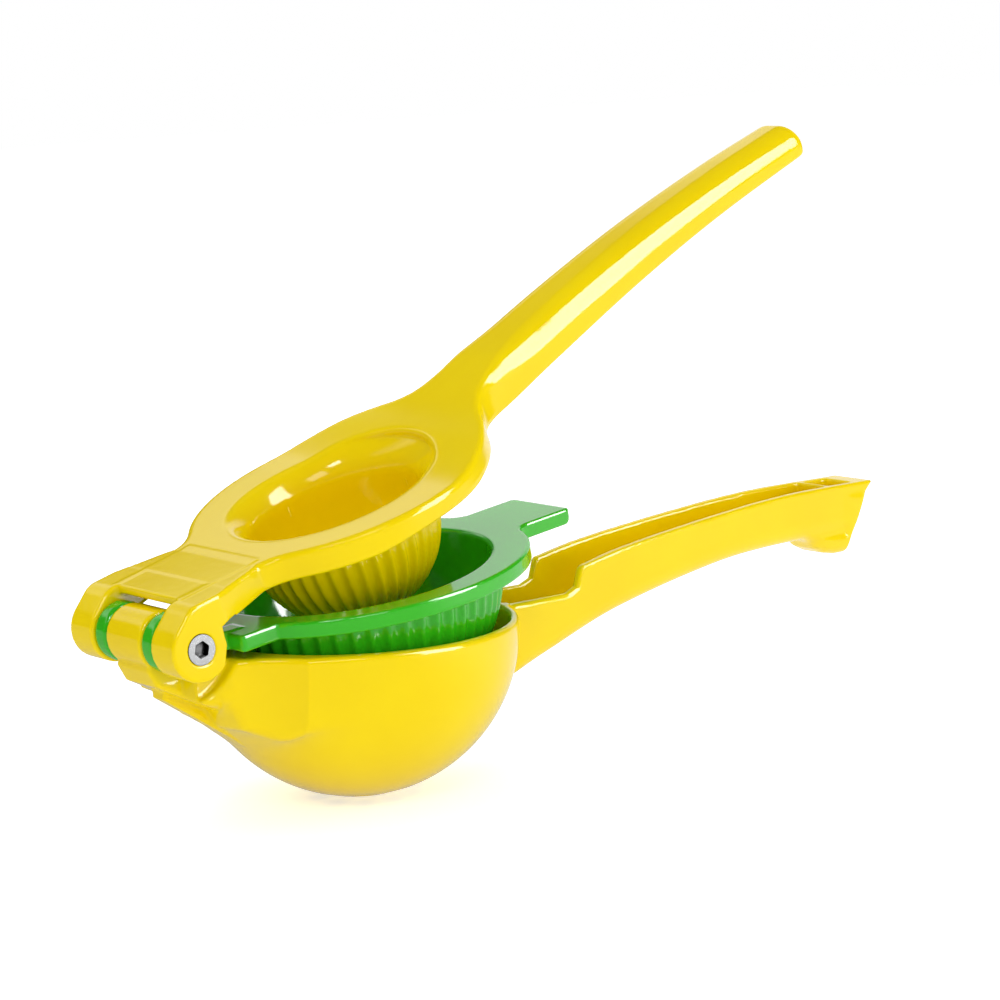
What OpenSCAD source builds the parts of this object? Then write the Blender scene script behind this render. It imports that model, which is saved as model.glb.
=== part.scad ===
// Hinged lemon squeezer with a second, smaller cup for limes, all on one hinge pin.
// Frame: origin at the centre of the flat under the bowl, +Z up along the bowl's axis,
// +X from the bowl towards the ends of the handles, hinge axis along Y on the -X side.
// The pieces are drawn closed, and the lime cup and the press are then swung open.

/* [Pose] */
// Angle between the lime cup's flange and the bowl's rim
lime_open = 8.4; // [0:0.1:40]
// Angle between the press's flange and the bowl's rim
press_open = 19.3; // [12:0.1:60]

/* [Bowl] */
// Outer diameter of the lemon bowl
bowl_d = 75; // [72:0.5:80]
// Wall of the lemon bowl
bowl_wall = 2.8; // [2.4:0.1:3]
// Height of the straight wall between the round bottom and the rim
bowl_straight = 1.8; // [1.5:0.1:4]
// Diameter of the small flat under the bowl
base_flat_d = 12; // [8:0.5:16]
// Diameter of one drain hole
drain_d = 4; // [3:0.1:4.5]

/* [Hinge] */
// Distance from the bowl's axis to the hinge axis
hinge_back = 54.4; // [53:0.1:57]
// Height of the hinge axis above the bowl's rim
hinge_up = 5.3; // [4.8:0.1:6]
// Width over the press's two ears
hinge_w = 42.4; // [40:0.1:46]
// Radius of the bowl's middle knuckle
knuckle_r = 7; // [6.8:0.1:7.4]
// Width of the bowl's middle knuckle
knuckle_w = 14; // [12:0.1:14.4]
// Radius of the lime cup's two knuckles
lime_knuckle_r = 6.6; // [6.2:0.1:7]
// Width of each of the lime cup's knuckles
lime_knuckle_w = 4.5; // [4:0.1:5]
// Radius of the press's ears
ear_r = 6.95; // [6.6:0.05:7.4]
// Side gap between neighbouring knuckles
side_gap = 0.3; // [0.3:0.05:0.5]
// Diameter of the pin's barrel
pin_d = 5; // [4.6:0.1:5.4]
// Diameter of the pin's two heads
pin_head_d = 6.6; // [6.2:0.1:7.2]
// Thickness of the pin's two heads
pin_head_t = 1.8; // [1.4:0.1:2.2]
// Diameter of the screw inside the barrel
screw_d = 3; // [2.6:0.1:3.2]
// Width across the flats of the screw's socket
socket_w = 3.4; // [2.8:0.1:3.6]
// Radial running clearance of the pin
run_clear = 0.05; // [0.04:0.01:0.08]

/* [Lime cup] */
// Outer diameter of the lime cup's flange
lime_flange_d = 78; // [76:0.1:80]
// How far the flange's centre lies from the cup's, towards the thumb tab
lime_shift = 1.7; // [0:0.1:2]
// Thickness of the lime cup's flange
lime_flange_t = 3.6; // [3.2:0.1:4.5]
// Radius of the lime cup's round outside
cup_r = 33.7; // [33:0.1:33.9]
// Height of that round outside's centre above the rim
cup_centre_up = 2.5; // [2:0.1:4]
// Wall of the lime cup
cup_wall = 2.2; // [2:0.1:2.5]
// Number of flutes round the lime cup
cup_flutes = 54; // [40:1:60]
// Half width of the lime cup's arm
lime_arm_half = 17.8; // [15:0.1:18.5]
// Distance from the bowl's axis to the end of the thumb tab
tab_reach = 55.3; // [50:0.1:56]
// Half width of the thumb tab
tab_half = 10.6; // [8:0.1:11]

/* [Press] */
// Outer diameter of the press's flange
press_flange_d = 71; // [70:0.1:76]
// Thickness of the press's flange
press_flange_t = 6.2; // [5.5:0.1:7]
// Gap between the closed press's flange and the lime cup's
press_gap = 3.3; // [2:0.1:4]
// Diameter of the hollow's mouth in the press
press_mouth_d = 47.5; // [46:0.5:50]
// Radius of the dome's round outside
dome_r = 22.4; // [21:0.1:23]
// Height of the dome's centre above the rim when closed
dome_centre_up = 4.3; // [3:0.1:5]
// Wall of the dome
dome_wall = 2.4; // [2.1:0.1:2.8]
// Number of flutes round the dome
dome_flutes = 40; // [30:1:44]
// Depth of the flutes on the dome and on the lime cup
flute_depth = 0.8; // [0.5:0.1:0.9]

/* [Handles] */
// Distance from the bowl's axis to the ends of the handles
handle_reach = 154.3; // [148:0.1:160]
// Wall of both handles
handle_wall = 2.2; // [2:0.1:2.6]
// Half width of the bowl's handle beside the bowl
low_half_root = 10.3; // [9.5:0.1:11]
// Half width of the bowl's handle at its end
low_half_end = 6.8; // [6.5:0.1:8]
// Half width of the press's handle beside its flange
top_half_root = 9.8; // [9:0.1:11]
// Half width of the press's handle at its end
top_half_end = 8.4; // [7.8:0.1:9]
// Diameter of the hanging hole in the end of the bowl's handle
hang_hole_d = 4; // [3:0.1:4.2]

/* [Hidden] */
$fn = 64;
lemon = "#f4d800";
lime = "#35c41f";
steel = "#c9ccd0";
over = 0.5;
bowl_r = bowl_d/2;
base_sag = bowl_r - sqrt(bowl_r*bowl_r - base_flat_d*base_flat_d/4);
rim_z = bowl_r + bowl_straight - base_sag;
seat_gap = 0.3;
lime_top = seat_gap + lime_flange_t;
press_low = lime_top + press_gap;
press_top = press_low + press_flange_t;
press_shift = 2.5;
press_flange_r = press_flange_d/2;
lime_flange_r = lime_flange_d/2;
lime_in = knuckle_w/2 + side_gap;
lime_out = lime_in + lime_knuckle_w;
ear_in = lime_out + side_gap;
ear_out = hinge_w/2;
arm_top = press_top + 0.7;
arm_half = 16.8;
neck_half = 13;
neck_fillet = 14;
// Height curves of the handles: [distance along X, height above the rim when closed]
end_x = handle_reach;
crown_curve = [[4, press_top], [11, press_top + 0.2], [17, 14.5], [25, 16.2], [34, 18.1], [43, 21.3],
               [51, 23.9], [76, 28.9], [103, 33], [131, 35.6], [end_x, 36.7]];
skirt_curve = [[-12, press_low], [0, 8.4], [16, 9], [26, 10.2], [44, 11.8], [65, 16], [93, 21.5], [122, 25.8],
               [end_x, 28.8]];
lip_curve = [[30, 0.5], [58, 5.4], [72, 8], [102, 11.3], [126, 13], [end_x, 13.1]];
keel_curve = [[30, -20.5], [40, -16.8], [52, -12.6], [70, -7], [102, -1.1], [122, 0.4], [end_x, 0.3]];
heel_low = -3.2;

// ---------- curves and skins ----------

// Smooth height at x on a curve through a list of [x, height] points
function knot(curve, x, i = 0) = i >= len(curve) - 2 || x < curve[i + 1][0] ? i : knot(curve, x, i + 1);
function slope(curve, i) =
    let (a = max(i - 1, 0), b = min(i + 1, len(curve) - 1))
    (curve[b][1] - curve[a][1])/(curve[b][0] - curve[a][0]);
function height(curve, x) =
    let (i = knot(curve, x), p = curve[i], q = curve[i + 1], w = q[0] - p[0])
    let (t = min(max((x - p[0])/w, 0), 1), u = 1 - t)
    p[1]*u*u*(1 + 2*t) + q[1]*t*t*(1 + 2*u) + w*t*u*(slope(curve, i)*u - slope(curve, i + 1)*t);
function mix(a, b, t) = a + (b - a)*t;

// Points along a circular arc
function arc(cx, cz, r, from, to, steps = 8) =
    [for (i = [0:steps]) let (a = mix(from, to, i/steps)) [cx + r*cos(a), cz + r*sin(a)]];

// A closed skin through cross-sections: each is [x, list of [y, z] points]
module skin(sections) {
    n = len(sections[0][1]);
    m = len(sections);
    points = [for (s = sections) for (p = s[1]) [s[0], p[0], p[1]]];
    sides = [for (i = [0:m - 2]) for (j = [0:n - 1]) for (half = [0, 1])
        let (a = i*n + j, b = i*n + (j + 1)%n)
        half == 0 ? [a, b + n, b] : [a, a + n, b + n]];
    first = [for (j = [1:n - 2]) [0, j, j + 1]];
    last = [for (j = [1:n - 2]) [(m - 1)*n, (m - 1)*n + j + 1, (m - 1)*n + j]];
    polyhedron(points, concat(first, sides, last));
}

// A cross-section with a flat face at height z0, and round shoulders up or down to height z1
function bar_section(z0, z1, wide, narrow, shoulder, steps = 6) =
    let (up = z1 > z0, drop = up ? shoulder : -shoulder)
    let (side = [for (i = [0:steps]) let (a = 90*i/steps)
        [narrow + (wide - narrow)*cos(a), z1 - drop*(1 - sin(a))]])
    let (loop = concat([[wide, z0]], side, [for (i = [steps:-1:0]) [-side[i][0], side[i][1]]], [[-wide, z0]]))
    up ? loop : [for (i = [len(loop) - 1:-1:0]) loop[i]];

// Lower part of a fluted ball: the flutes fade out towards its bottom, which ends in a small flat
module fluted_ball(r, centre_up, top, flutes, rings) {
    per_flute = 4;
    n = flutes*per_flute;
    turn_low = -80;
    turn_top = asin((top - centre_up)/r);
    sections = [for (i = [0:rings]) let (a = mix(turn_low, turn_top, i/rings))
        [centre_up + r*sin(a), r*cos(a)]];
    points = [for (s = sections) for (j = [0:n - 1])
        let (b = 360*j/n, fade = min(1, max(0, (s[1]/r - 0.15)/0.45)))
        let (rr = s[1] - flute_depth*fade*(1 - cos(b*flutes))/2)
        [rr*cos(b), rr*sin(b), s[0]]];
    sides = [for (i = [0:rings - 1]) for (j = [0:n - 1]) for (half = [0, 1])
        let (a = i*n + j, b = i*n + (j + 1)%n)
        half == 0 ? [a, b + n, b] : [a, a + n, b + n]];
    floor_face = [for (j = [0:n - 1]) j];
    roof_face = [for (j = [n - 1:-1:0]) rings*n + j];
    polyhedron(points, concat([floor_face], sides, [roof_face]));
}

// A side view in X and Z, given thickness along Y
module side_plate(half) {
    translate([0, half, 0]) rotate([90, 0, 0]) linear_extrude(height = 2*half) children();
}

// A disc or a cone on the hinge axis, from y0 to y1
module on_hinge(y0, y1, r0, r1) {
    translate([-hinge_back, y1, hinge_up]) rotate([90, 0, 0]) cylinder(h = y1 - y0, r1 = r1, r2 = r0);
}

module both_sides() {
    children();
    mirror([0, 1, 0]) children();
}

// Swings a closed piece open about the hinge and lifts it on the bowl
module swung(angle) {
    translate([-hinge_back, 0, rim_z + hinge_up])
        rotate([0, -angle, 0])
            translate([hinge_back, 0, -hinge_up])
                children();
}

module drain_holes(rings) {
    for (ring = rings)
        for (i = [0:ring[1] - 1])
            rotate([0, 0, 360*i/ring[1] + ring[2]])
                translate([ring[0], 0, -bowl_d])
                    rotate([0, 0, 40]) cylinder(h = 0.85*bowl_d, d = drain_d, $fn = 32);
}

// ---------- lower_handle: lemon bowl with its handle ----------

module bowl_ball(r) {
    translate([0, 0, -bowl_straight]) sphere(r = r, $fn = 96);
}

module bowl_outside() {
    intersection() {
        bowl_ball(bowl_r);
        translate([0, 0, -bowl_straight - bowl_d/2]) cube([2*bowl_d, 2*bowl_d, bowl_d], center = true);
    }
    translate([0, 0, -bowl_straight]) cylinder(h = bowl_straight, r = bowl_r, $fn = 96);
}

module bowl_hollow() {
    bowl_ball(bowl_r - bowl_wall);
    translate([0, 0, -bowl_straight]) cylinder(h = bowl_straight + over, r = bowl_r - bowl_wall, $fn = 96);
}

// Plan of the neck between the bowl and the hinge, with round inner corners
module neck_plan() {
    corner_y = neck_half + neck_fillet;
    reach = bowl_r + neck_fillet;
    corner_x = sqrt(reach*reach - corner_y*corner_y);
    touch = bowl_r/reach;
    difference() {
        translate([-corner_x, -corner_y*touch]) square([corner_x*0.45, 2*corner_y*touch]);
        for (s = [-1, 1]) translate([-corner_x, s*corner_y]) circle(r = neck_fillet);
    }
    translate([-hinge_back + 4, -neck_half]) square([hinge_back - corner_x - 3.9, 2*neck_half]);
    translate([-hinge_back - knuckle_r, -knuckle_w/2]) square([20, knuckle_w]);
}

// Side view of the neck: sloping underneath from the knuckle down into the bowl
module neck_side() {
    polygon([[-hinge_back - 6.4, hinge_up - 2.8], [-hinge_back - 2.6, hinge_up - 9.9], [-38, -14.6],
             [-34.6, -14], [-31, -9], [-28.5, -9], [-28.5, 0], [-hinge_back, 0], [-hinge_back, hinge_up]]);
}

module gusset_side() {
    polygon([[-hinge_back + 1.3, -5], [-hinge_back + 1.3, -8.6], [-38.9, -18.2], [-33, -22], [-29, -20],
             [-29, -8]]);
}

function low_half(x) = mix(low_half_root, low_half_end, min(max((x - 40)/(end_x - 45), 0), 1));
function top_half(x) = mix(top_half_root, top_half_end, min(max((x - 40)/(end_x - 45), 0), 1));

// Outside of the open-topped handle channel, without the notch beside the bowl
module channel_outside() {
    stations = 24;
    start = 31;
    skin([for (i = [0:stations]) let (x = mix(start, end_x, i/stations), w = low_half(x))
        [x, bar_section(height(lip_curve, x), height(keel_curve, x), w, w - 3, 3, 4)]]);
}

// Inside of the channel, open at the top
module channel_hollow(x0, x1) {
    stations = ceil((x1 - x0)/5);
    skin([for (i = [0:stations]) let (x = mix(x0, x1, i/stations), w = low_half(x) - handle_wall)
        [x, bar_section(height(lip_curve, x) + 9, height(keel_curve, x) + handle_wall, w, w - 2, 2, 3)]]);
}

// Heel under the end of the handle, with round lower edges
module heel() {
    heel_round = 2.5;
    half = low_half_end - 0.1;
    intersection() {
        side_plate(half) polygon([[end_x - 21, 2.4], [end_x - 19, 0.3], [end_x - 15.5, heel_low + 0.8],
                                  [end_x - 12.5, heel_low], [end_x, heel_low], [end_x, 11], [end_x - 9, 11],
                                  [end_x - 9, 2.4]]);
        translate([end_x - 30, 0, 0]) rotate([90, 0, 90]) linear_extrude(height = 40) {
            translate([-half, heel_low + heel_round]) square([2*half, 20]);
            translate([-half + heel_round, heel_low]) square([2*(half - heel_round), 20]);
            for (s = [-1, 1])
                translate([s*(half - heel_round), heel_low + heel_round]) circle(r = heel_round);
        }
    }
}

// What is cut away beyond the slanting end
module end_cut_side() {
    polygon([[end_x - 7.3, heel_low - 1], [end_x - 7.3, heel_low + 0.5], [end_x - 6.9, heel_low + 2],
             [end_x - 1.2, 11.5], [end_x - 0.2, 13.4], [end_x - 0.2, 20], [end_x + 10, 20],
             [end_x + 10, heel_low - 1]]);
}

// Space above both walls next to the bowl, which lets the lime cup's tab swing through
module notch_side() {
    notch_x = tab_reach + 2.5;
    floor_z = -0.4;
    polygon([[29, floor_z], [notch_x - 4.2, floor_z], [notch_x - 1.3, 0.8], [notch_x, lime_top + 1.3],
             [notch_x + 0.7, 20], [29, 20]]);
}

module lower_handle() {
    pocket_back = 12.2;
    pocket_x = end_x - pocket_back;
    web = 1.6;
    color(lemon) translate([0, 0, rim_z]) difference() {
        union() {
            bowl_outside();
            intersection() {
                translate([0, 0, -30]) linear_extrude(height = 60) neck_plan();
                side_plate(40) neck_side();
            }
            side_plate(2.5) gusset_side();
            on_hinge(-knuckle_w/2, knuckle_w/2, knuckle_r, knuckle_r);
            difference() {
                channel_outside();
                side_plate(20) notch_side();
            }
            heel();
        }
        bowl_hollow();
        translate([0, 0, -bowl_r - bowl_straight - 10 + base_sag]) cylinder(h = 10, r = bowl_r);
        both_sides() on_hinge(knuckle_w/2, knuckle_w/2 + 8, 8.8, 15.5);
        difference() {
            channel_hollow(34, pocket_x - web);
            bowl_outside();
        }
        translate([pocket_x, -low_half_end + handle_wall, 1])
            cube([end_x - handle_wall - pocket_x - 2.6, 2*(low_half_end - handle_wall), 20]);
        translate([pocket_x + hang_hole_d/2 + 0.1, 0, heel_low - 1]) cylinder(h = 10, d = hang_hole_d);
        side_plate(20) end_cut_side();
        drain_holes([[11, 10, 18]]);
        on_hinge(-20, 20, pin_d/2 + run_clear, pin_d/2 + run_clear);
    }
}

// ---------- lime_cup: smaller fluted cup with a thumb tab ----------

// Plan of the thumb tab with round inner corners beside the flange
module tab_plan() {
    fillet = 3;
    corner_y = tab_half + fillet;
    reach = lime_flange_r + fillet;
    corner_x = lime_shift + sqrt(reach*reach - corner_y*corner_y);
    touch = lime_flange_r/reach;
    inner_x = mix(lime_shift, corner_x, touch) - 4;
    round_end = 1.6;
    difference() {
        translate([inner_x, -corner_y*touch]) square([corner_x - inner_x, 2*corner_y*touch]);
        for (s = [-1, 1]) translate([corner_x, s*corner_y]) circle(r = fillet);
    }
    translate([corner_x - 1, -tab_half]) square([tab_reach - round_end - corner_x + 1, 2*tab_half]);
    translate([corner_x - 1, -tab_half + round_end])
        square([tab_reach - corner_x + 1, 2*(tab_half - round_end)]);
    for (s = [-1, 1]) translate([tab_reach - round_end, s*(tab_half - round_end)]) circle(r = round_end);
}

// Slanting lower edge at the end of the thumb tab
module tab_slant_side() {
    slant = 1.3;
    polygon([[tab_reach - slant, seat_gap - 1], [tab_reach - slant, seat_gap], [tab_reach, seat_gap + slant],
             [tab_reach + 2, seat_gap + slant], [tab_reach + 2, seat_gap - 1]]);
}

// Side view of one lug from the arm to the knuckle
module lug_side() {
    polygon([[-hinge_back, hinge_up - lime_knuckle_r], [-hinge_back + 8, seat_gap], [-38, seat_gap],
             [-38, lime_top], [-hinge_back + 10, lime_top + 0.4], [-hinge_back + 6.4, hinge_up + 1],
             [-hinge_back + 4.6, hinge_up + 4.6], [-hinge_back, hinge_up + lime_knuckle_r]]);
}

module lime_cup() {
    hollow_r = cup_r - cup_wall;
    color(lime) swung(lime_open) difference() {
        union() {
            translate([lime_shift, 0, seat_gap]) cylinder(h = lime_flange_t, r = lime_flange_r, $fn = 96);
            difference() {
                translate([0, 0, seat_gap]) linear_extrude(height = lime_flange_t) tab_plan();
                side_plate(20) tab_slant_side();
            }
            translate([-hinge_back + 12, -lime_arm_half, seat_gap])
                cube([22, 2*lime_arm_half, lime_flange_t]);
            both_sides() translate([0, (lime_in + lime_out)/2, 0]) side_plate(lime_knuckle_w/2) lug_side();
            both_sides() on_hinge(lime_in, lime_out, lime_knuckle_r, lime_knuckle_r);
            fluted_ball(cup_r, cup_centre_up, seat_gap + 1, cup_flutes, 6);
        }
        translate([0, 0, cup_centre_up]) sphere(r = hollow_r, $fn = 96);
        translate([0, 0, cup_centre_up]) cylinder(h = 20, r = hollow_r, $fn = 96);
        drain_holes([[0, 1, 0], [8, 6, 0], [14.5, 12, 15]]);
        on_hinge(-20, 20, pin_d/2 + run_clear, pin_d/2 + run_clear);
    }
}

// ---------- upper_handle: press with its handle ----------

// Side view of one ear and of the arm's edge: the round ear runs into the level top of the arm
module ear_side() {
    top_x = -hinge_back + 2.6;
    top_r = 5.7;
    top_z = arm_top - top_r;
    apart = norm([top_x + hinge_back, top_z - hinge_up]);
    lean = atan2(top_z - hinge_up, top_x + hinge_back) + acos((ear_r - top_r)/apart);
    polygon(concat(arc(-hinge_back, hinge_up, ear_r, 180, lean), arc(top_x, top_z, top_r, lean, 90),
                   [[-33, press_top], [-20, press_top - 0.2], [-20, press_low], [-34, press_low + 0.4],
                    [-hinge_back + 9, press_low + 0.6], [-hinge_back + 6.6, hinge_up + 2]]));
}

// Side view of the plate between the ears
module plate_side() {
    polygon([[-hinge_back + 3.1, arm_top - 2.3], [-hinge_back + 3.4, arm_top - 0.05], [-33, press_top],
             [-20, press_top - 0.2], [-20, press_low], [-40, press_low + 0.4], [-43, arm_top - 2.6]]);
}

// Plan of the arm: narrowest beside the flange and spreading out to the ears
module arm_plan() {
    for (s = [1, -1]) polygon([[-20, 0], [-hinge_back - 10, 0], [-hinge_back - 10, s*ear_out],
                               [-hinge_back + 8, s*ear_out], [-33, s*arm_half], [-20, s*arm_half]]);
}

// Side view of the flange, which rises towards the handle
module flange_side() {
    xs = [for (x = [-12:4:44]) x];
    top = [for (x = xs) if (x > 4) [x, height(crown_curve, x)]];
    polygon(concat([[-50, press_low], [-50, press_top]], top,
                   [for (i = [len(xs) - 1:-1:0]) [xs[i], height(skirt_curve, xs[i])]]));
}

// Outside of the press's handle, closed on top and open underneath
module grip_outside() {
    stations = 24;
    start = 34;
    blunt = 2.4;
    body = [for (i = [0:stations]) mix(start, end_x - blunt, i/stations)];
    nose = [for (i = [1:3]) end_x - blunt + blunt*sin(30*i)];
    skin([for (x = concat(body, nose))
        let (lost = x > end_x - blunt ? blunt*(1 - cos(asin((x - end_x + blunt)/blunt))) : 0)
        let (crown = mix(6.6, 2.2, sqrt((x - start)/(end_x - start))), w = top_half(x) - lost*0.7)
        [x, bar_section(height(skirt_curve, x) + lost*0.4, height(crown_curve, x) - lost, w, crown - lost*0.3,
                        5.6)]]);
}

// Hollow under the press's handle
module grip_hollow() {
    stations = 14;
    skin([for (i = [0:stations]) let (x = mix(44, end_x - 3.2, i/stations))
        let (crown = mix(4.4, 1.6, i/stations), w = top_half(x) - handle_wall)
        [x, bar_section(height(skirt_curve, x) - 6, height(crown_curve, x) - handle_wall, w, crown, 4)]]);
}

module upper_handle() {
    lip = 4;
    mouth_r = press_mouth_d/2;
    hollow_r = dome_r - dome_wall;
    color(lemon) swung(press_open) difference() {
        union() {
            intersection() {
                translate([press_shift, 0, 0]) cylinder(h = 40, r = press_flange_r, $fn = 96);
                side_plate(50) flange_side();
            }
            intersection() {
                union() {
                    both_sides() translate([0, (ear_in + ear_out)/2, 0])
                        side_plate((ear_out - ear_in)/2) ear_side();
                    side_plate(ear_in + 1) plate_side();
                }
                linear_extrude(height = 40) arm_plan();
            }
            both_sides() on_hinge(ear_in, ear_out, ear_r, ear_r);
            grip_outside();
            fluted_ball(dome_r, dome_centre_up, press_top - 2.4, dome_flutes, 8);
        }
        translate([0, 0, dome_centre_up]) sphere(r = hollow_r, $fn = 96);
        translate([0, 0, dome_centre_up]) cylinder(h = 20, r = hollow_r, $fn = 96);
        translate([0, 0, press_top - lip])
            cylinder(h = 2*lip, r1 = hollow_r, r2 = 2*mouth_r - hollow_r, $fn = 96);
        grip_hollow();
        on_hinge(-30, 30, pin_d/2 + run_clear, pin_d/2 + run_clear);
        both_sides() on_hinge(ear_out - pin_head_t, 30, pin_head_d/2 + run_clear, pin_head_d/2 + run_clear);
    }
}

// ---------- the hinge pin: a barrel with one head and a screw with the other ----------

module hinge_barrel() {
    color(steel) swung(press_open) difference() {
        union() {
            on_hinge(-ear_out + pin_head_t + side_gap, ear_out - over, pin_d/2, pin_d/2);
            on_hinge(ear_out - pin_head_t, ear_out, pin_head_d/2, pin_head_d/2);
        }
        on_hinge(-ear_out, ear_out - pin_head_t - 2, screw_d/2 + run_clear, screw_d/2 + run_clear);
    }
}

module hinge_screw() {
    socket_deep = 1.3;
    color(steel) swung(press_open) difference() {
        union() {
            on_hinge(-ear_out, -ear_out + pin_head_t, pin_head_d/2, pin_head_d/2);
            on_hinge(-ear_out + over, ear_out - pin_head_t - 4, screw_d/2, screw_d/2);
        }
        translate([-hinge_back, -ear_out + socket_deep, hinge_up]) rotate([90, 0, 0])
            cylinder(h = socket_deep + over, d = socket_w/cos(30), $fn = 6);
    }
}

lower_handle();
lime_cup();
upper_handle();
hinge_barrel();
hinge_screw();
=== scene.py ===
"""Looks of the hinged lemon squeezer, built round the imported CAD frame.

Each casting is a level surface of a distance field in millimetres, drawn closed about the rim plane
as in the CAD source, meshed on a fine grid and then swung open about the hinge.
"""
import math

import bpy
import numpy as np
from mathutils import Matrix, Vector


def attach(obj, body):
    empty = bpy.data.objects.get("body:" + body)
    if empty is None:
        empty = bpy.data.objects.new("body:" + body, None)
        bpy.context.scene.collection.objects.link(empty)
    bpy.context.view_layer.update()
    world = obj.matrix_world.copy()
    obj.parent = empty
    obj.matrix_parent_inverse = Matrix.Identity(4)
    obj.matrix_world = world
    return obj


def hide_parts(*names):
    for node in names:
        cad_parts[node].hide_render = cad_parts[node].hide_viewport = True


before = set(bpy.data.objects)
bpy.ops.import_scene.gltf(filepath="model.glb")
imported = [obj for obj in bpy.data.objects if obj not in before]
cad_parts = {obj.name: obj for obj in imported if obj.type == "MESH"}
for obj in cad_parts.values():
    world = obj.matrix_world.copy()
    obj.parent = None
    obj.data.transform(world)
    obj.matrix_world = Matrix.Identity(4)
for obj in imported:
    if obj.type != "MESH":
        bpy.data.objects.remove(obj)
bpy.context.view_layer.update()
scene = bpy.context.scene

MM = 0.001

# ---------------------------------------------------------------- sizes, as in the CAD source (mm)

RIM_Z = 38.817
HINGE_X = -54.4
HINGE_Z = 5.3
LIME_OPEN = 8.4
PRESS_OPEN = 19.3

BOWL_R = 37.5
BOWL_WALL = 2.8
BOWL_STRAIGHT = 1.8
BOWL_BACK = 1
BOWL_UP = -1.6
NECK_HALF = 13.0
RIB_HALF = 2.5
PIN_R = 2.55
KNUCKLE_R = 6.7
KNUCKLE_HALF = 7.0
CRADLE_IN = 9.0
CRADLE_OUT = 13.8
LIME_KNUCKLE_R = 6.6
LIME_IN = 7.3
LIME_OUT = 11.8
EAR_R = 7.15
EAR_IN = 12.1
EAR_OUT = 21.2
HEAD_R = 3.35
HEAD_T = 1.8

SEAT_GAP = 0.3
LIME_TOP = 3.9
LIME_R = 39.0
LIME_SHIFT = 1.7
CUP_R = 33.7
CUP_UP = 2.5
CUP_WALL = 2.2
LIME_ARM_HALF = 17.8
TAB_REACH = 55.3
TAB_HALF = 10.6

PRESS_LOW = 7.2
PRESS_TOP = 13.4
PRESS_SHIFT = 2.5
PRESS_R = 35.5
MOUTH_R = 23.75
DOME_R = 22.4
DOME_UP = 4.3
DOME_WALL = 2.4
FLUTE_DEPTH = 0.8
DOME_FLUTES = 40
DOME_FLUTE_DEPTH = 1.0
MOUTH_DEPTH = 6
CUP_FLUTES = 54

END_X = 154.3
WALL = 2.2
LOW_ROOT, LOW_END = 10.3, 6.8
TOP_ROOT, TOP_END = 9.8, 8.4
HEEL_LOW = -3.2
HEEL_DROP = 1.3
HOLE_R = 2.0
DRAIN_R = 2.0
# the lime cup's flange lies on the lower handle between these two, at this height
SEAT_START, SEAT_END, SEAT_TOP = 20, 38.5, 0.05

CROWN = [(4, 13.4), (11, 13.6), (17, 14.5), (25, 16.2), (34, 18.1), (43, 21.3), (51, 23.9), (76, 28.9),
         (103, 33), (131, 35.6), (END_X, 36.7)]
SKIRT = [(-12, 7.2), (0, 8.4), (16, 9), (26, 10.2), (44, 11.8), (65, 16), (93, 21.5), (122, 25.8),
         (END_X, 28.8)]
LIP = [(30, 0.5), (58, 5.4), (72, 8), (102, 11.3), (126, 13), (END_X, 13.1)]
KEEL = [(30, -20.5), (40, -16.8), (52, -12.6), (70, -7), (102, -1.1), (122, 0.4), (END_X, 0.3)]


# ---------------------------------------------------------------- distance-field tools

def smin(a, b, k):
    h = np.clip(0.5 + 0.5*(b - a)/k, 0, 1)
    return b + (a - b)*h - k*h*(1 - h)


def smax(a, b, k):
    return -smin(-a, -b, k)


def mix(a, b, t):
    return a + (b - a)*t


def ramp(x, x0, x1):
    t = np.clip((x - x0)/(x1 - x0), 0, 1)
    return t*t*(3 - 2*t)


def height(curve, x):
    """Smooth height and slope at x along a list of (x, height) points, as the CAD source has it."""
    px = np.array([p[0] for p in curve], float)
    pz = np.array([p[1] for p in curve], float)
    n = len(px)
    lo = np.maximum(np.arange(n) - 1, 0)
    hi = np.minimum(np.arange(n) + 1, n - 1)
    slope = (pz[hi] - pz[lo])/(px[hi] - px[lo])
    i = np.clip(np.searchsorted(px, x, side="right") - 1, 0, n - 2)
    w = px[i + 1] - px[i]
    t = np.clip((x - px[i])/w, 0, 1)
    u = 1 - t
    z = pz[i]*u*u*(1 + 2*t) + pz[i + 1]*t*t*(1 + 2*u) + w*t*u*(slope[i]*u - slope[i + 1]*t)
    dz = (pz[i + 1] - pz[i])*6*t*u/w + slope[i]*u*(1 - 3*t) - slope[i + 1]*t*(1 - 3*u)
    return z, dz


def above(curve, x, z):
    """Distance above a height curve, negative below it."""
    h, slope = height(curve, x)
    return (z - h)/np.sqrt(1 + slope*slope)


def polygon(points, x, z):
    """Exact distance to a polygon in the X-Z plane, negative inside."""
    best = None
    inside = None
    n = len(points)
    for i in range(n):
        ax, az = points[i]
        bx, bz = points[(i + 1) % n]
        ex, ez = bx - ax, bz - az
        wx, wz = x - ax, z - az
        t = np.clip((wx*ex + wz*ez)/(ex*ex + ez*ez), 0, 1)
        d = (wx - ex*t)**2 + (wz - ez*t)**2
        best = d if best is None else np.minimum(best, d)
        cross = ((az <= z) & (bz > z)) | ((bz <= z) & (az > z))
        side = (ex*wz - ez*wx) if bz > az else (ez*wx - ex*wz)
        hit = cross & (side > 0)
        inside = hit if inside is None else inside ^ hit
    return np.sqrt(best)*np.where(inside, -1.0, 1.0)


def box2(a, b, half_a, half_b, r=0.0):
    """Distance to a rectangle with round corners."""
    qa = np.abs(a) - half_a + r
    qb = np.abs(b) - half_b + r
    return np.hypot(np.maximum(qa, 0), np.maximum(qb, 0)) + np.minimum(np.maximum(qa, qb), 0) - r


def on_hinge(x, z, r):
    return np.hypot(x - HINGE_X, z - HINGE_Z) - r


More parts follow.
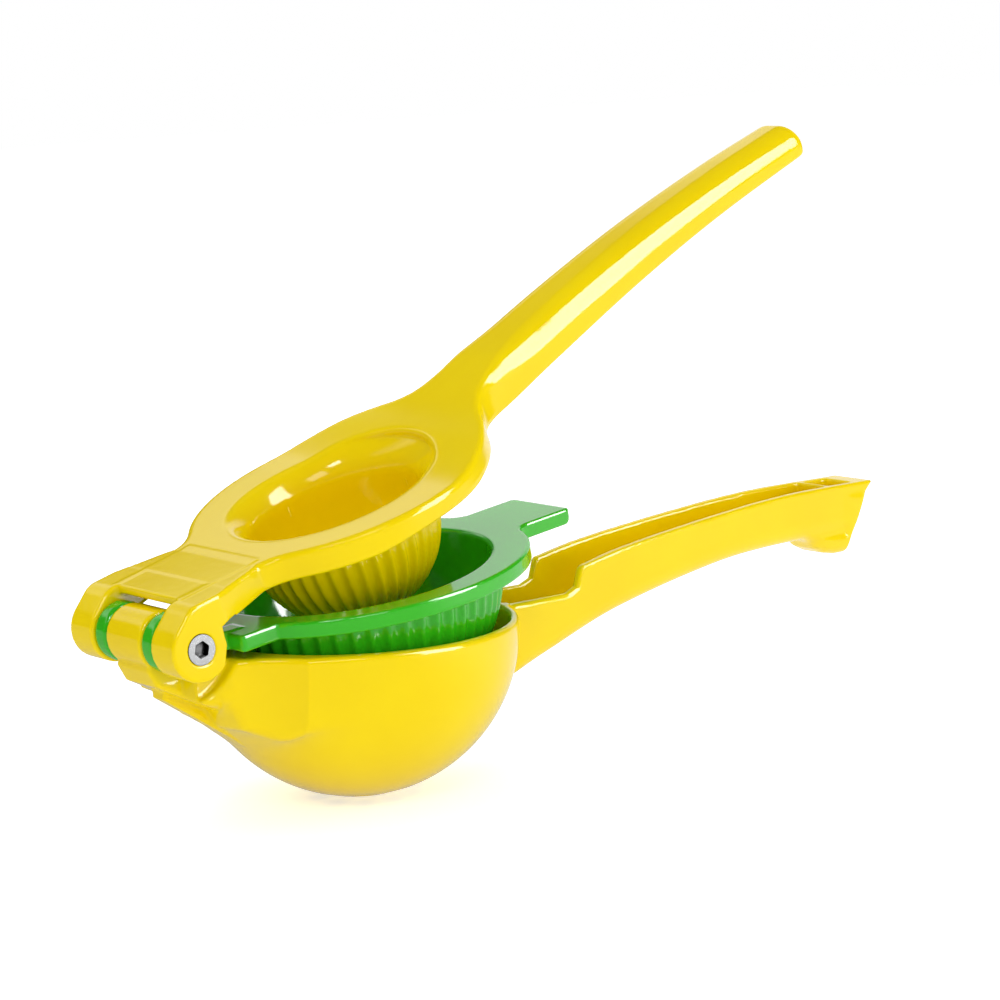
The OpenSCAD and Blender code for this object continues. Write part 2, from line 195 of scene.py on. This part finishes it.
def between(y, y0, y1):
    return np.abs(y - (y0 + y1)/2) - (y1 - y0)/2


def ring_of_holes(x, y, radius, count, turn, r):
    rho = np.hypot(x, y)
    step = 2*math.pi/count
    a = np.arctan2(y, x) - math.radians(turn)
    a = (a + step/2) % step - step/2
    return np.hypot(rho*np.cos(a) - radius, rho*np.sin(a)) - r


def fluted(x, y, z, r, up, flutes, depth):
    """Outside of a fluted ball whose flutes fade out towards its bottom."""
    rho = np.hypot(x, y)
    fade = ramp(rho/r, 0.12, 0.6)
    wave = 0.5 - 0.5*np.cos(np.arctan2(y, x)*flutes)
    ball = np.where(z < up, np.sqrt(rho*rho + (z - up)**2), rho)
    return ball - r + depth*fade*wave**0.8


# ---------------------------------------------------------------- meshing

EDGES = [((0, 0, 0), (1, 0, 0)), ((0, 1, 0), (1, 1, 0)), ((0, 0, 1), (1, 0, 1)), ((0, 1, 1), (1, 1, 1)),
         ((0, 0, 0), (0, 1, 0)), ((1, 0, 0), (1, 1, 0)), ((0, 0, 1), (0, 1, 1)), ((1, 0, 1), (1, 1, 1)),
         ((0, 0, 0), (0, 0, 1)), ((1, 0, 0), (1, 0, 1)), ((0, 1, 0), (0, 1, 1)), ((1, 1, 0), (1, 1, 1))]


def surface_net(field, low, high, step):
    """Vertices and quads of the zero surface of field(x, y, z) in the box from low to high."""
    axes = [np.arange(a, b + step, step) for a, b in zip(low, high)]
    y = axes[1][None, :, None]
    z = axes[2][None, None, :]
    slabs = []
    for part in np.array_split(axes[0], 10):
        slab = field(part[:, None, None], y, z)
        slabs.append(np.broadcast_to(slab, (len(part), len(axes[1]), len(axes[2]))).astype(np.float32))
    v = np.concatenate(slabs)
    inside = v < 0
    n = [s - 1 for s in v.shape]

    def corner(a, o):
        return a[o[0]:o[0] + n[0], o[1]:o[1] + n[1], o[2]:o[2] + n[2]]

    corners = [(i, j, k) for i in (0, 1) for j in (0, 1) for k in (0, 1)]
    count = sum(corner(inside, c).astype(np.uint8) for c in corners)
    active = (count > 0) & (count < 8)
    ids = np.full(active.shape, -1, np.int64)
    cells = np.argwhere(active)
    ids[active] = np.arange(len(cells))
    total = np.zeros((len(cells), 3))
    weight = np.zeros(len(cells))
    for a, b in EDGES:
        va = v[cells[:, 0] + a[0], cells[:, 1] + a[1], cells[:, 2] + a[2]]
        vb = v[cells[:, 0] + b[0], cells[:, 1] + b[1], cells[:, 2] + b[2]]
        cut = (va < 0) != (vb < 0)
        t = np.where(cut, va/np.where(va == vb, 1, va - vb), 0)
        p = np.array(a) + t[:, None]*(np.array(b) - np.array(a))
        total[cut] += p[cut]
        weight += cut
    points = (cells + total/weight[:, None])*step + np.array([a[0] for a in axes])
    quads = []
    for axis in range(3):
        u, w = (axis + 1) % 3, (axis + 2) % 3
        first = [slice(1, -1)]*3
        first[axis] = slice(0, -1)
        second = list(first)
        second[axis] = slice(1, None)
        a = inside[tuple(first)]
        b = inside[tuple(second)]
        spots = np.argwhere(a != b)
        entering = a[tuple(spots.T)]
        base = spots.copy()
        base[:, u] += 1
        base[:, w] += 1
        ring = []
        for du, dw in ((-1, -1), (0, -1), (0, 0), (-1, 0)):
            c = base.copy()
            c[:, u] += du
            c[:, w] += dw
            ring.append(ids[c[:, 0], c[:, 1], c[:, 2]])
        q = np.stack(ring, 1)
        q[~entering] = q[~entering][:, ::-1]
        quads.append(q)
    return points, np.concatenate(quads)


def settle(field, points, step, rounds=3):
    """Moves points onto the zero surface along the field's slope."""
    e = 0.02
    for _ in range(rounds):
        x, y, z = points.T
        f = field(x, y, z)
        g = np.stack([field(x + e, y, z) - field(x - e, y, z),
                      field(x, y + e, z) - field(x, y - e, z),
                      field(x, y, z + e) - field(x, y, z - e)], 1)/(2*e)
        move = -f[:, None]*g/np.maximum((g*g).sum(1), 0.25)[:, None]
        size = np.linalg.norm(move, axis=1, keepdims=True)
        points = points + move*np.minimum(1, 0.5*step/np.maximum(size, 1e-9))
    return points


def casting(name, field, low, high, step, opening, body, node, material):
    """Meshes a field, swings it open about the hinge and puts it in place of its CAD node."""
    points, quads = surface_net(field, low, high, step)
    points = settle(field, points, step)
    a = math.radians(opening)
    x = points[:, 0] - HINGE_X
    z = points[:, 2] - HINGE_Z
    placed = np.stack([HINGE_X + x*math.cos(a) - z*math.sin(a), points[:, 1],
                       RIM_Z + HINGE_Z + x*math.sin(a) + z*math.cos(a)], 1)*MM
    mesh = bpy.data.meshes.new(name)
    mesh.vertices.add(len(placed))
    mesh.vertices.foreach_set("co", placed.astype(np.float32).ravel())
    mesh.loops.add(quads.size)
    mesh.loops.foreach_set("vertex_index", quads.astype(np.int32).ravel())
    mesh.polygons.add(len(quads))
    mesh.polygons.foreach_set("loop_start", np.arange(0, quads.size, 4, dtype=np.int32))
    mesh.polygons.foreach_set("use_smooth", np.ones(len(quads), bool))
    mesh.update(calc_edges=True)
    mesh.validate()
    mesh.materials.append(material)
    piece = bpy.data.objects.new(name, mesh)
    scene.collection.objects.link(piece)
    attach(piece, body)
    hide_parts(node)
    print(name, len(mesh.vertices), "vertices")
    return piece


# ---------------------------------------------------------------- lower handle with its bowl

NECK = [(-60.8, 2.5), (-57.0, -4.6), (-38, -14.6), (-34.6, -14), (-31, -9), (-28.5, -9), (-28.5, 0),
        (-54.4, 0), (-54.4, 5.3)]
CORE = [(-46, -6.5), (-41.8, -9.5), (-39.5, -15), (-34, -16), (-28, -10), (-28, 0), (-46, 0)]
GUSSET = [(-53.1, -5), (-53.1, -8.6), (-38.9, -18.2), (-33, -22), (-29, -20), (-29, -8)]
NOTCH = [(25, -0.4), (53.6, -0.4), (56.5, 0.8), (57.8, 5.2), (58.5, 24), (25, 24)]
HEEL = [(END_X - 21.5, 2.4), (END_X - 20, 0.5), (END_X - 17, HEEL_LOW + 0.8),
        (END_X - 14.2, HEEL_LOW - 0.6), (END_X - 10.8, HEEL_LOW - HEEL_DROP), (END_X, HEEL_LOW - HEEL_DROP),
        (END_X, 11), (END_X - 9, 11), (END_X - 9, 2.4)]
END_CUT = [(END_X - 7.3, HEEL_LOW - 4), (END_X - 7.3, HEEL_LOW + 0.5), (END_X - 6.9, HEEL_LOW + 2),
           (END_X - 1.4, 10.5), (END_X + 1.7, 13.6), (END_X + 1.7, 26), (END_X + 12, 26),
           (END_X + 12, HEEL_LOW - 4)]


def ball(x, y, z, r, centre):
    rho = np.hypot(x, y)
    return np.where(z < centre, np.sqrt(rho*rho + (z - centre)**2), rho) - r


def lower_half(x):
    return mix(LOW_ROOT, LOW_END, np.clip((x - 40)/(END_X - 45), 0, 1))


def lower_field(x, y, z):
    ay = np.abs(y)
    outer = ball(x + BOWL_BACK, y, z, BOWL_R, BOWL_UP)
    inner = ball(x, y, z, BOWL_R - BOWL_WALL, -BOWL_STRAIGHT)
    # neck with round inner corners, between the bowl and the middle knuckle
    fillet = 27 - np.sqrt(np.maximum(196 - (x + 43.9)**2, 0))
    half = np.where(x < -43.9, NECK_HALF, np.where(x > -31, 21.6, fillet))
    half = np.where(x < -49.6, mix(KNUCKLE_HALF, NECK_HALF, ramp(x, -51.2, -49.6)), half)
    core = smax(polygon(CORE, x, z), ay - half, 3.0)
    neck = smax(polygon(NECK, x, z), ay - np.minimum(half, NECK_HALF), mix(1.2, 9.0, ramp(x, -49, -40)))
    neck = np.maximum(neck, x + 38)
    rib = smax(polygon(GUSSET, x, z), ay - RIB_HALF, 0.7)
    bowl = smin(smin(outer, core, 12.0), neck, 1.2)
    bowl = smax(bowl, z - 0.02, 1.3)
    bowl = smin(bowl, rib, 0.9)
    # room for the lime cup's knuckles, and wider for the ears outside them
    cradle = mix(CRADLE_IN, CRADLE_OUT, ramp(ay, 10.6, 11.4))
    cup = np.maximum((on_hinge(x, z, 0) - cradle)*0.8, KNUCKLE_HALF - ay)
    bowl = smax(bowl, -cup, 0.6)
    knuckle = smax(on_hinge(x, z, KNUCKLE_R), ay - KNUCKLE_HALF, 0.9)
    bowl = smin(bowl, knuckle, 0.5)
    # open channel of the handle
    half = lower_half(x)
    under = -above(KEEL, x, z)
    over = above(LIP, x, z)
    bar = smax(smax(under, ay - half, 5.0), over, 0.4)
    bar = np.maximum(bar, 29 - x)
    bar = smax(bar, -polygon(NOTCH, x, z), 1.2)
    heel = smax(polygon(HEEL, x, z), ay - LOW_END + 0.1, 4.0)
    bar = smin(bar, heel, 1.6)
    bar = smax(bar, -polygon(END_CUT, x, z), 0.7)
    whole = smin(bowl, bar, 2.2)
    seat = np.minimum(z - SEAT_TOP, np.minimum(SEAT_END - x, x - SEAT_START))
    whole = np.maximum(whole, seat)
    # hollows
    channel = smax(smax(under + WALL, ay - half + WALL, 3.0), 35.6 - x, 1.0)
    channel = smax(channel, x - (END_X - 13.8), 1.2)
    channel = np.maximum(channel, -outer + 0.2)
    whole = smax(whole, -channel, 0.6)
    pocket = smax(between(x, END_X - 12.2, END_X - 4.8), ay - LOW_END + WALL, 1.2)
    pocket = smax(pocket, 1 - z, 1.0)
    whole = smax(whole, -pocket, 0.8)
    hole = np.hypot(x - (END_X - 10.1), y) - HOLE_R
    whole = smax(whole, -np.maximum(hole, HEEL_LOW - 3 - z), 0.7)
    whole = smax(whole, -inner, 1.1)
    drains = np.maximum(ring_of_holes(x, y, 11, 10, 18, DRAIN_R), z + 20)
    whole = smax(whole, -drains, 0.9)
    whole = smax(whole, -on_hinge(x, z, PIN_R), 0.2)
    return smax(whole, -(z + RIM_Z), 0.4)


# ---------------------------------------------------------------- lime cup

LUG = [(-54.4, -1.3), (-46.4, 0.3), (-38, 0.3), (-38, 3.9), (-44.4, 4.3), (-48, 6.3), (-49.8, 9.9),
       (-54.4, 11.9)]


def lime_field(x, y, z):
    ay = np.abs(y)
    rho = np.hypot(x, y)
    disc = np.hypot(x - LIME_SHIFT, y) - LIME_R
    tab = box2(x - (TAB_REACH + 20)/2, y, (TAB_REACH - 20)/2, TAB_HALF, 1.2)
    plan = smin(disc, tab, 3.5)
    arm = box2(x + 32, y, 10.4, LIME_ARM_HALF, 1.0)
    plan = smin(plan, arm, 0.3)
    flange = smax(plan, between(z, SEAT_GAP, LIME_TOP), 0.4)
    flange = smax(flange, ((x - TAB_REACH + 1.3) - (z - SEAT_GAP))*0.707, 0.4)
    lug = smax(polygon(LUG, x, z), between(ay, LIME_IN, LIME_OUT), 0.35)
    flange = smin(flange, lug, 0.7)
    knuckle = smax(on_hinge(x, z, LIME_KNUCKLE_R), between(ay, LIME_IN, LIME_OUT), 0.9)
    flange = smin(flange, knuckle, 0.5)
    cup = smax(fluted(x, y, z, CUP_R, CUP_UP, CUP_FLUTES, FLUTE_DEPTH), z - SEAT_GAP - 1.5, 0.5)
    whole = smin(flange, cup, 1.0)
    hollow = ball(x, y, z, CUP_R - CUP_WALL, CUP_UP)
    whole = smax(whole, -hollow, 0.9)
    drains = np.minimum(rho - DRAIN_R, ring_of_holes(x, y, 8, 6, 0, DRAIN_R))
    drains = np.minimum(drains, ring_of_holes(x, y, 14.5, 12, 15, DRAIN_R))
    drains = np.maximum(drains, z + 14)
    whole = smax(whole, -drains, 0.8)
    return smax(whole, -on_hinge(x, z, PIN_R), 0.2)


# ---------------------------------------------------------------- press with its handle

ARM_TOP = PRESS_TOP + 1.1


def arc(cx, cz, r, start, end, steps=10):
    turns = [math.radians(mix(start, end, i/steps)) for i in range(steps + 1)]
    return [(cx + r*math.cos(a), cz + r*math.sin(a)) for a in turns]


TOP_ARC_X, TOP_ARC_R = HINGE_X + 2.6, 5.7
TOP_ARC_Z = ARM_TOP - TOP_ARC_R
LEAN = math.degrees(math.atan2(TOP_ARC_Z - HINGE_Z, 2.6)
                    + math.acos((EAR_R - TOP_ARC_R)/math.hypot(2.6, TOP_ARC_Z - HINGE_Z)))
EAR = (arc(HINGE_X, HINGE_Z, EAR_R, 180, LEAN) + arc(TOP_ARC_X, TOP_ARC_Z, TOP_ARC_R, LEAN, 90)
       + [(-33, PRESS_TOP), (-20, PRESS_TOP), (-20, PRESS_LOW), (-34, PRESS_LOW + 0.4),
          (-45.4, PRESS_LOW + 0.6), (-47.8, HINGE_Z + 2), (-48.2, HINGE_Z - 2)]
       + arc(HINGE_X, HINGE_Z, EAR_R, -45, -180, 14)[1:-1])
PLATE = [(-51.3, ARM_TOP - 1.8), (-51.0, ARM_TOP), (-33, PRESS_TOP), (-20, PRESS_TOP), (-20, PRESS_LOW),
         (-40, PRESS_LOW + 0.4), (-43, ARM_TOP - 2.6)]


def upper_half(x):
    return mix(TOP_ROOT, TOP_END, np.clip((x - 40)/(END_X - 45), 0, 1))


def grip(ay, z, wide, narrow, crown, shoulder):
    """Cross-section with upright sides and an elliptical shoulder up to a flat crown."""
    a = np.maximum(wide - narrow, 0.5)
    qy = np.maximum(ay - narrow, 0)
    qz = np.maximum(z - crown + shoulder, 0)
    k1 = np.hypot(qy/a, qz/shoulder)
    k2 = np.hypot(qy/(a*a), qz/(shoulder*shoulder))
    round_d = k1*(k1 - 1)/np.maximum(k2, 1e-6)
    flat_d = np.maximum(ay - wide, z - crown)
    corner = (ay > narrow) & (z > crown - shoulder)
    return np.where(corner, round_d, flat_d)


def rounded(e, h, a, b):
    """Distance to a corner between a side and a top, e and h deep, rounded over a across and b down."""
    qa = np.maximum(a - e, 0)
    qb = np.maximum(b - h, 0)
    k1 = np.hypot(qa/a, qb/b)
    k2 = np.hypot(qa/(a*a), qb/(b*b))
    corner = (e < a) & (h < b)
    return np.where(corner, k1*(k1 - 1)/np.maximum(k2, 1e-6), np.maximum(-e, -h))


def upper_field(x, y, z):
    ay = np.abs(y)
    crown, rise = height(CROWN, x)
    lift = np.clip((-33 - x)/18, 0, 1)*(ARM_TOP - PRESS_TOP)
    top = (z - crown - lift)/np.sqrt(1 + rise*rise)
    skirt = -above(SKIRT, x, z)
    # plan of flange, arm and handle in one outline
    ring = np.hypot(x - PRESS_SHIFT, y) - PRESS_R
    wide = upper_half(x)
    sag = (z - (crown + height(SKIRT, x)[0])/2)/np.maximum(crown - height(SKIRT, x)[0], 6)
    belly = 0.45*(1 - 4*sag*sag)*ramp(x, 40, 60)
    bar = np.maximum(ay - wide + 0.45*ramp(x, 40, 60) - belly, 20 - x)
    plan = smin(ring, bar, 9.0)
    half = np.where(x < -46.4, EAR_OUT, mix(EAR_OUT, 16.8, np.clip((x + 46.4)/13.4, 0, 1)))
    arm = np.maximum((ay - half)*0.95, x + 20)
    plan = smin(plan, arm, 5.0)
    t = np.clip((x - 34)/(END_X - 34), 0, 1)
    far = ramp(x, 34, 62)
    across = mix(1.1, wide - mix(6.6, 2.2, np.sqrt(t)), far)
    down = mix(1.1, 5.4, far)
    body = smax(rounded(-plan, -top, across, down), x - END_X, 2.2)
    body = smax(body, skirt, 1.2)
    body = np.maximum(body, -43 - x)
    # ears, and the plate between them
    ear = smax(polygon(EAR, x, z), ay - half, 0.6)
    ear = smax(ear, EAR_IN - ay, 0.7)
    ear = np.maximum(ear, x + 33)
    plate = smax(polygon(PLATE, x, z), ay - np.minimum(half, EAR_IN + 2), 0.5)
    whole = smin(np.minimum(body, ear), np.maximum(plate, x + 30), 0.3)
    # hollow under the handle
    slope = np.sqrt(1 + rise*rise)
    flat = mix(6.6, 2.2, np.sqrt(t))
    cave = grip(ay, (z - crown)/slope, wide - WALL, np.maximum(flat - 1.6, 1.2), -WALL, 4.0)
    cave = smax(cave, 45 - x, 2.0)
    cave = smax(cave, x - END_X + 3.2, 1.5)
    whole = smax(whole, -cave, 0.9)
    # dome
    dome = fluted(x, y, z, DOME_R, DOME_UP, DOME_FLUTES, DOME_FLUTE_DEPTH)
    dome = smax(dome, z - PRESS_TOP + 2.4, 0.5)
    whole = smin(whole, dome, 1.2)
    flare = np.clip((z - PRESS_TOP + MOUTH_DEPTH)/MOUTH_DEPTH, 0, 1.15)**2
    lip = (MOUTH_R - DOME_R + DOME_WALL)*flare
    hollow = ball(x, y, z, DOME_R - DOME_WALL, DOME_UP) - lip
    whole = smax(whole, -hollow*0.85, 1.0)
    whole = smax(whole, -on_hinge(x, z, PIN_R), 0.2)
    seat = smax(on_hinge(x, z, HEAD_R), EAR_OUT - HEAD_T - ay, 0.2)
    return smax(whole, -seat, 0.35)


# ---------------------------------------------------------------- materials

def principled(name):
    material = bpy.data.materials.new(name)
    material.use_nodes = True
    return material, material.node_tree, material.node_tree.nodes["Principled BSDF"]


def enamel(name, colour, deep, specular):
    """Glossy enamel: faint pooling of colour and a fine orange-peel surface."""
    material, tree, shader = principled(name)
    nodes, links = tree.nodes, tree.links
    where = nodes.new("ShaderNodeTexCoord")
    cloud = nodes.new("ShaderNodeTexNoise")
    cloud.inputs["Scale"].default_value = 38
    cloud.inputs["Detail"].default_value = 3
    links.new(where.outputs["Object"], cloud.inputs["Vector"])
    blend = nodes.new("ShaderNodeValToRGB")
    blend.color_ramp.elements[0].position = 0.3
    blend.color_ramp.elements[0].color = (*deep, 1)
    blend.color_ramp.elements[1].position = 0.62
    blend.color_ramp.elements[1].color = (*colour, 1)
    links.new(cloud.outputs["Fac"], blend.inputs["Fac"])
    links.new(blend.outputs["Color"], shader.inputs["Base Color"])
    peel = nodes.new("ShaderNodeTexNoise")
    peel.inputs["Scale"].default_value = 520
    peel.inputs["Detail"].default_value = 2
    links.new(where.outputs["Object"], peel.inputs["Vector"])
    gloss = nodes.new("ShaderNodeMapRange")
    gloss.inputs["To Min"].default_value = 0.07
    gloss.inputs["To Max"].default_value = 0.13
    links.new(cloud.outputs["Fac"], gloss.inputs["Value"])
    links.new(gloss.outputs["Result"], shader.inputs["Roughness"])
    bump = nodes.new("ShaderNodeBump")
    bump.inputs["Strength"].default_value = 0.04
    bump.inputs["Distance"].default_value = 0.0004
    links.new(peel.outputs["Fac"], bump.inputs["Height"])
    links.new(bump.outputs["Normal"], shader.inputs["Normal"])
    shader.inputs["Specular IOR Level"].default_value = specular
    return material


def steel(name):
    material, tree, shader = principled(name)
    nodes, links = tree.nodes, tree.links
    where = nodes.new("ShaderNodeTexCoord")
    grain = nodes.new("ShaderNodeTexNoise")
    grain.inputs["Scale"].default_value = 900
    links.new(where.outputs["Object"], grain.inputs["Vector"])
    rough = nodes.new("ShaderNodeMapRange")
    rough.inputs["To Min"].default_value = 0.12
    rough.inputs["To Max"].default_value = 0.24
    links.new(grain.outputs["Fac"], rough.inputs["Value"])
    links.new(rough.outputs["Result"], shader.inputs["Roughness"])
    # painted shade: the base colour is darkened by ambient occlusion in the socket and the seat
    socket_occlusion = nodes.new("ShaderNodeAmbientOcclusion")
    socket_occlusion.inputs["Distance"].default_value = 0.003
    shade = nodes.new("ShaderNodeValToRGB")
    shade.color_ramp.elements[0].position = 0.45
    shade.color_ramp.elements[0].color = (0.02, 0.02, 0.02, 1)
    shade.color_ramp.elements[1].position = 0.95
    shade.color_ramp.elements[1].color = (0.72, 0.73, 0.74, 1)
    links.new(socket_occlusion.outputs["AO"], shade.inputs["Fac"])
    links.new(shade.outputs["Color"], shader.inputs["Base Color"])
    shader.inputs["Metallic"].default_value = 1
    return material


LEMON = enamel("lemon_enamel", (0.93, 0.70, 0.0), (0.90, 0.66, 0.0), 0.4)
LIME = enamel("lime_enamel", (0.034, 0.49, 0.008), (0.03, 0.45, 0.006), 0.9)
STEEL = steel("bright_steel")

# ---------------------------------------------------------------- pieces

# spacing of the grid that the castings are meshed on (mm)
STEP = 0.5
casting("squeezer_bowl_handle", lower_field, (-64, -40, -40), (158, 40, 16), STEP, 0,
        "base", "lower_handle", LEMON)
casting("lime_cup_enamel", lime_field, (-63, -40, -33), (58, 40, 14), STEP, LIME_OPEN,
        "lime", "lime_cup", LIME)
casting("press_handle_enamel", upper_field, (-63, -37.5, -20), (156, 37.5, 39), STEP, PRESS_OPEN,
        "press", "upper_handle", LEMON)
for node in ("hinge_barrel", "hinge_screw"):
    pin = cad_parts[node]
    pin.data.materials.clear()
    pin.data.materials.append(STEEL)
    edge = pin.modifiers.new("edge", "BEVEL")
    edge.width = 0.00025
    edge.segments = 3
    edge.limit_method = "ANGLE"

# ---------------------------------------------------------------- stage, light and camera

def pale_floor():
    """Pale sheet that takes the shadow, lifted to white for the camera.

    Reflections see it dim under the hinge and white beyond the bowl.
    """
    material, tree, shader = principled("pale_floor")
    shader.inputs["Base Color"].default_value = (0.9, 0.9, 0.9, 1)
    shader.inputs["Roughness"].default_value = 0.6
    shader.inputs["Specular IOR Level"].default_value = 0.0
    nodes, links = tree.nodes, tree.links
    # painted light: the sheet glows, 0.55 for the camera and 0.22 for light bouncing onto the object, which
    # brightens it from below
    path = nodes.new("ShaderNodeLightPath")
    lift = nodes.new("ShaderNodeMix")
    lift.inputs[2].default_value = 0.22
    lift.inputs[3].default_value = 0.55
    links.new(path.outputs["Is Camera Ray"], lift.inputs[0])
    glow = nodes.new("ShaderNodeEmission")
    links.new(lift.outputs[0], glow.inputs["Strength"])
    both = nodes.new("ShaderNodeAddShader")
    links.new(shader.outputs["BSDF"], both.inputs[0])
    links.new(glow.outputs["Emission"], both.inputs[1])
    place = nodes.new("ShaderNodeTexCoord")
    split = nodes.new("ShaderNodeSeparateXYZ")
    links.new(place.outputs["Object"], split.inputs["Vector"])
    grow = nodes.new("ShaderNodeMapRange")
    grow.interpolation_type = "SMOOTHSTEP"
    links.new(split.outputs["X"], grow.inputs["Value"])
    for name, value in (("From Min", -0.02), ("From Max", 0.14), ("To Min", 0.4), ("To Max", 1.0)):
        grow.inputs[name].default_value = value
    dim = nodes.new("ShaderNodeEmission")
    links.new(grow.outputs["Result"], dim.inputs["Strength"])
    pick = nodes.new("ShaderNodeMixShader")
    links.new(path.outputs["Is Glossy Ray"], pick.inputs["Fac"])
    links.new(both.outputs["Shader"], pick.inputs[1])
    links.new(dim.outputs["Emission"], pick.inputs[2])
    links.new(pick.outputs["Shader"], nodes["Material Output"].inputs["Surface"])
    return material


bpy.ops.mesh.primitive_plane_add(size=6, location=(0, 0, -0.0004))
sheet = bpy.context.object
sheet.name = "floor"
sheet.data.materials.append(pale_floor())

world = bpy.data.worlds.new("studio")
scene.world = world
world.use_nodes = True
nodes, links = world.node_tree.nodes, world.node_tree.links
soft = nodes["Background"]
soft.inputs["Color"].default_value = (1, 1, 1, 1)
soft.inputs["Strength"].default_value = 0.55
white = nodes.new("ShaderNodeBackground")
white.inputs["Color"].default_value = (1, 1, 1, 1)
white.inputs["Strength"].default_value = 1.0
# reflections see a dim room with one white patch, which stands behind the object
where = nodes.new("ShaderNodeTexCoord")
split = nodes.new("ShaderNodeSeparateXYZ")
links.new(where.outputs["Generated"], split.inputs["Vector"])


def fade(axis, start, end, low, high):
    node = nodes.new("ShaderNodeMapRange")
    links.new(split.outputs[axis], node.inputs["Value"])
    for name, value in (("From Min", start), ("From Max", end), ("To Min", low), ("To Max", high)):
        node.inputs[name].default_value = value
    return node.outputs["Result"]


def maths(operation, a, b):
    node = nodes.new("ShaderNodeMath")
    node.operation = operation
    links.new(a, node.inputs[0])
    links.new(b, node.inputs[1])
    return node.outputs[0]


patch = maths("MAXIMUM", fade("Z", 0.41, 0.455, 0, 1), fade("X", 0.40, 0.50, 0, 1))
patch = maths("MULTIPLY", patch, fade("Y", 0.2, 0.4, 0, 1))
patch = maths("MULTIPLY", patch, fade("Z", 0.5, 0.575, 1, 0))
bright = nodes.new("ShaderNodeMapRange")
bright.inputs["To Min"].default_value = 0.05
links.new(patch, bright.inputs["Value"])
mirrored = nodes.new("ShaderNodeBackground")
mirrored.inputs["Color"].default_value = (1, 1, 1, 1)
links.new(bright.outputs["Result"], mirrored.inputs["Strength"])
path = nodes.new("ShaderNodeLightPath")
shiny = nodes.new("ShaderNodeMath")
shiny.operation = "MAXIMUM"
links.new(path.outputs["Is Glossy Ray"], shiny.inputs[0])
links.new(path.outputs["Is Transmission Ray"], shiny.inputs[1])
first = nodes.new("ShaderNodeMixShader")
links.new(shiny.outputs[0], first.inputs["Fac"])
links.new(soft.outputs["Background"], first.inputs[1])
links.new(mirrored.outputs["Background"], first.inputs[2])
second = nodes.new("ShaderNodeMixShader")
links.new(path.outputs["Is Camera Ray"], second.inputs["Fac"])
links.new(first.outputs["Shader"], second.inputs[1])
links.new(white.outputs["Background"], second.inputs[2])
links.new(second.outputs["Shader"], nodes["World Output"].inputs["Surface"])


def lamp(name, where, aim, width, tall, watts, diffuse=True, glossy=True):
    data = bpy.data.lights.new(name, "AREA")
    data.shape = "RECTANGLE"
    data.size = width
    data.size_y = tall
    data.energy = watts
    light = bpy.data.objects.new(name, data)
    scene.collection.objects.link(light)
    aimed = (Vector(aim) - Vector(where)).to_track_quat("-Z", "Y").to_matrix().to_4x4()
    light.matrix_world = Matrix.Translation(where) @ aimed
    light.visible_camera = False
    light.visible_diffuse = diffuse
    light.visible_glossy = glossy
    return light


CENTRE = (0.03, 0, 0.06)
lamp("key", (-0.6, -0.85, 0.75), CENTRE, 0.45, 0.4, 2.6)
lamp("front", (-0.1, -1.0, 0.12), CENTRE, 0.6, 0.3, 1.6, glossy=False)
lamp("top", (0.1, 0.4, 1.4), CENTRE, 1.0, 1.0, 4.4, glossy=False)
lamp("fill", (0.95, -0.5, 0.35), CENTRE, 0.5, 0.5, 2.4, glossy=False)
lamp("back", (0.1, 1.1, 0.9), CENTRE, 1.2, 0.6, 2.6, glossy=False)
# two lamps seen only in reflections: the panel makes the long highlight on the press handle
lamp("panel", (0.40, -0.70, 0.75), (0.40, 0.0, 0.75), 0.5, 1.4, 34.0, diffuse=False)
lamp("spot", (-0.72, -0.30, 0.80), CENTRE, 0.22, 0.12, 1.6, diffuse=False)

camera_data = bpy.data.cameras.new("camera")
camera = bpy.data.objects.new("camera", camera_data)
scene.collection.objects.link(camera)
RIGHT = Vector((0.790, -0.612, -0.044))
BACK = Vector((-0.599, -0.785, 0.158)).normalized()
RIGHT = (RIGHT - BACK*RIGHT.dot(BACK)).normalized()
UP = BACK.cross(RIGHT)
camera.matrix_world = Matrix.Translation(Vector((-0.4093, -0.5917, 0.1802))) @ Matrix(
    (RIGHT, UP, BACK)).transposed().to_4x4()
camera_data.sensor_width = 36
camera_data.lens = 116.86
camera_data.clip_start = 0.01
camera_data.clip_end = 50
scene.camera = camera
scene.view_settings.view_transform = "Standard"
